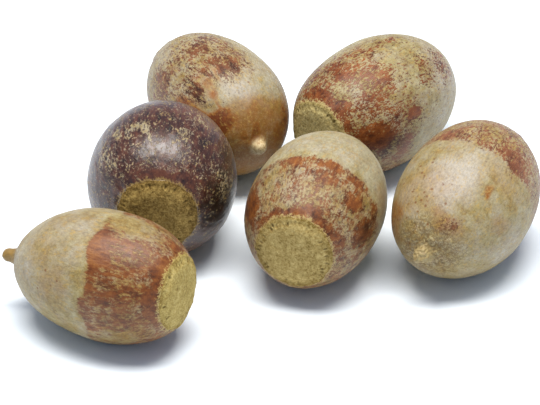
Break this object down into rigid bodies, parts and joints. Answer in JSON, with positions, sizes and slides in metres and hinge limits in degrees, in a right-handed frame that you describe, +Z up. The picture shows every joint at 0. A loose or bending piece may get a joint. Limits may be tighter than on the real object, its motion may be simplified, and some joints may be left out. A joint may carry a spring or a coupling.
{
  "type": "loose group of scarlet oak acorns",
  "caption": "Loose group of ripe scarlet oak acorns out of their cups, lying on their sides: oval nuts with a round corky scar at one end and a blunt tip at the other.",
  "frame": {"origin": "on the table under the middle of the group's box", "axes": "+Z up from the table, +X along the longer side of the group, +Y towards its back row"},
  "size_m": [0.0572, 0.0518, 0.0158],
  "materials": {
    "front_left_shell": "acorn shell: tan down on the tip half, red-brown bare shell with dark streaks on the cup half, yellow-olive corky scar",
    "middle_left_shell": "acorn shell: glossy dark chestnut rubbed almost bare of down, with fine tan flecks and an olive corky scar",
    "back_left_shell": "acorn shell: worn tan down over red-brown, with orange-brown stains beside a golden tip",
    "back_right_shell": "acorn shell: red-brown with long tan streaks and flecks, turning tan at the tip, pale corky scar",
    "centre_shell": "acorn shell: cream-tan down on the tip half, orange-brown mottled cup half, ochre corky scar",
    "front_right_shell": "acorn shell: nearly whole tan-grey down with ochre patches and small reddish marks, red-brown band by the scar"
  },
  "bodies": {
    "root": {"front_left_acorn": "front_left_shell", "middle_left_acorn": "middle_left_shell", "back_left_acorn": "back_left_shell", "back_right_acorn": "back_right_shell", "centre_acorn": "centre_shell", "front_right_acorn": "front_right_shell"}
  },
  "joints": []
}
